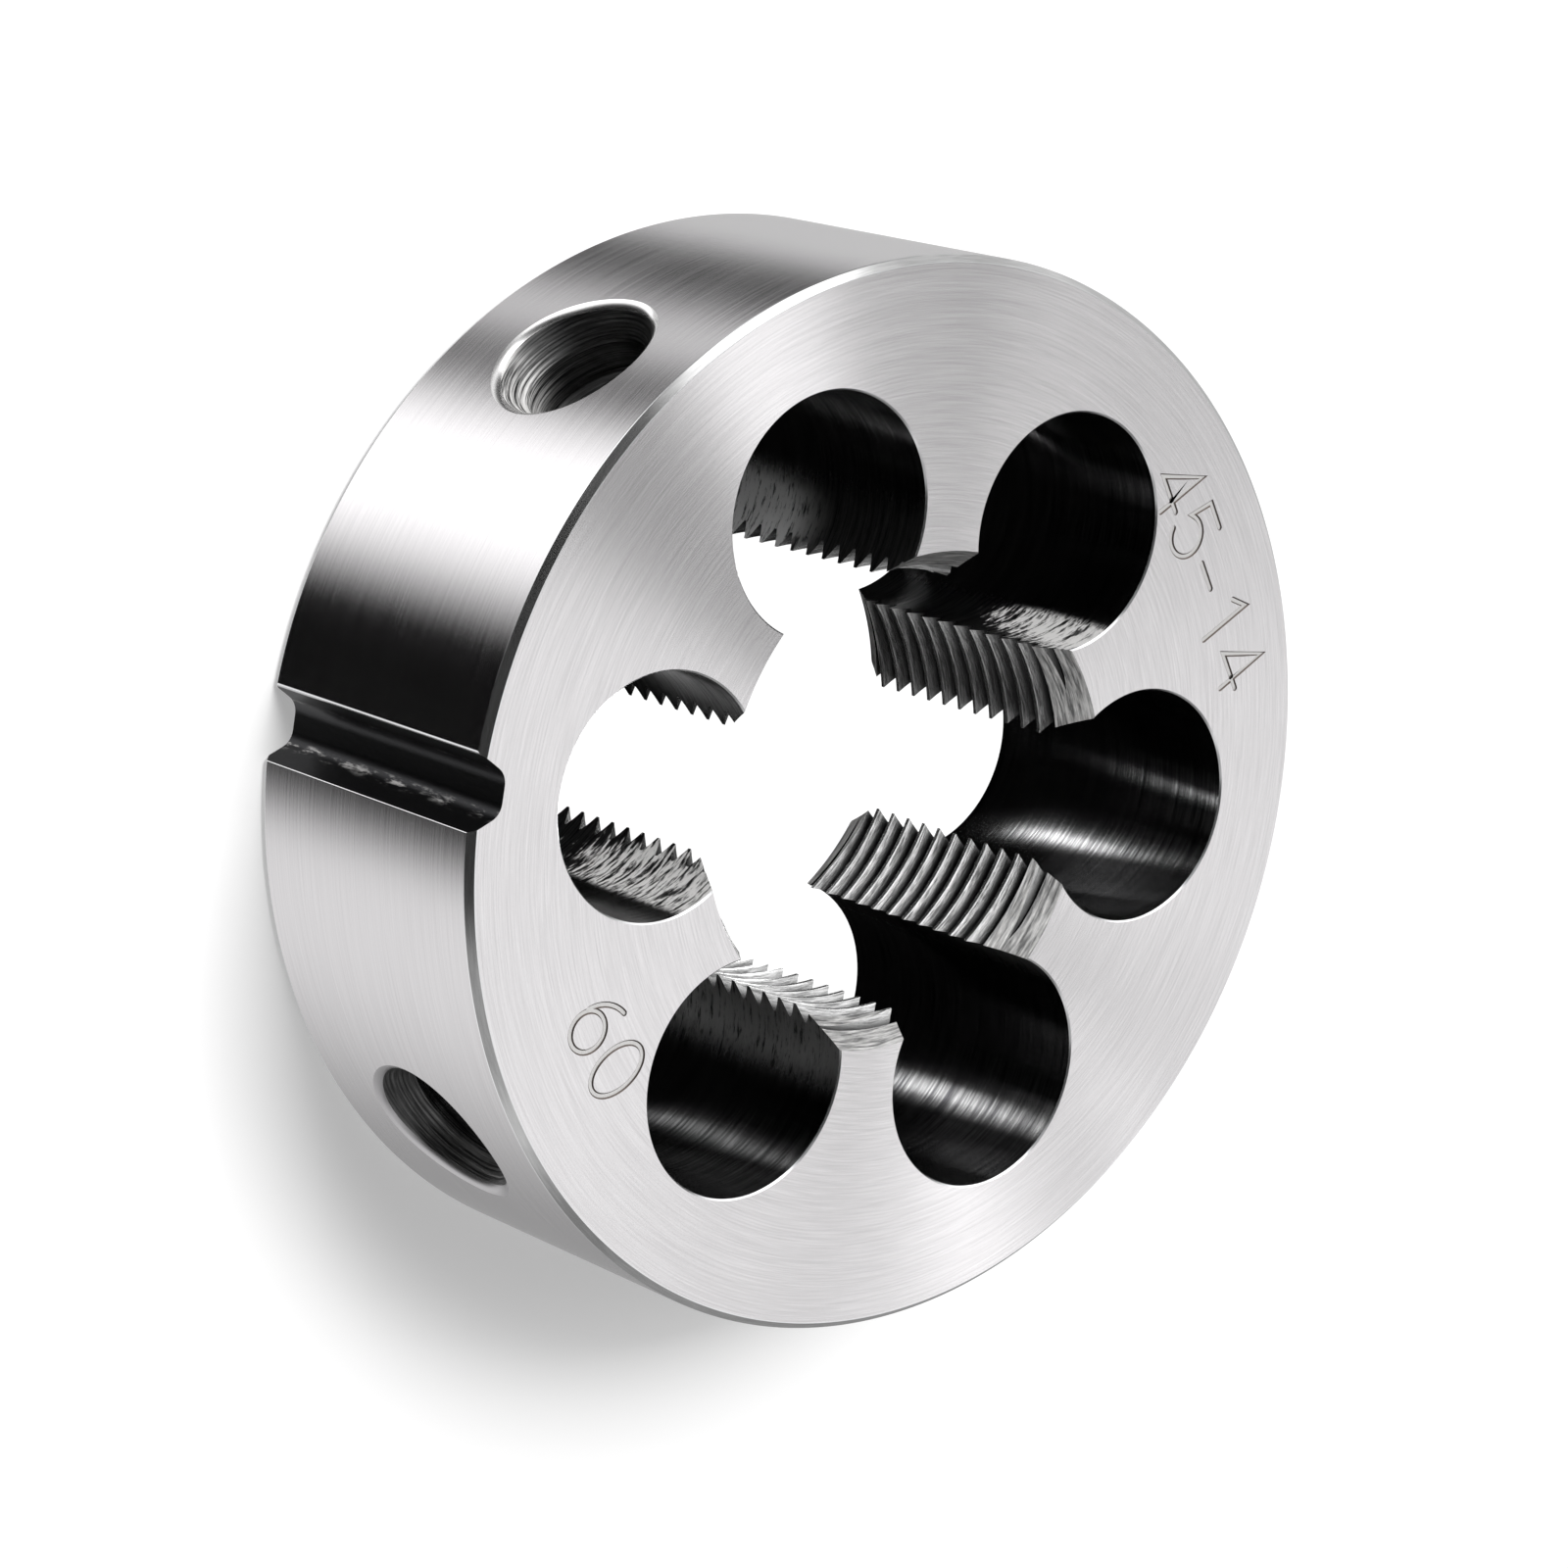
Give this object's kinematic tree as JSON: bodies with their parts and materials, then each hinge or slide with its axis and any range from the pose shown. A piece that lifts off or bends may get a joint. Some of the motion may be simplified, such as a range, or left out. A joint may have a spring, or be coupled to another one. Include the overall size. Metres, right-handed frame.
{
  "type": "round threading die",
  "caption": "Solid round die for cutting outside screw threads, with chip flutes, toothed cutting lands, a clamping groove and screw dimples in its rim.",
  "frame": {"origin": "centre of the back face, on the thread's axis, where the die rests", "axes": "+Z along the thread's axis, out of the lead-in face; -X out through the clamping groove"},
  "size_m": [0.0449, 0.045, 0.014],
  "materials": {
    "hardened_steel": "hardened high-speed steel, ground bright on the faces and rim, dark and bare in the flutes"
  },
  "bodies": {
    "root": {"threading_die": "hardened_steel"}
  },
  "joints": []
}
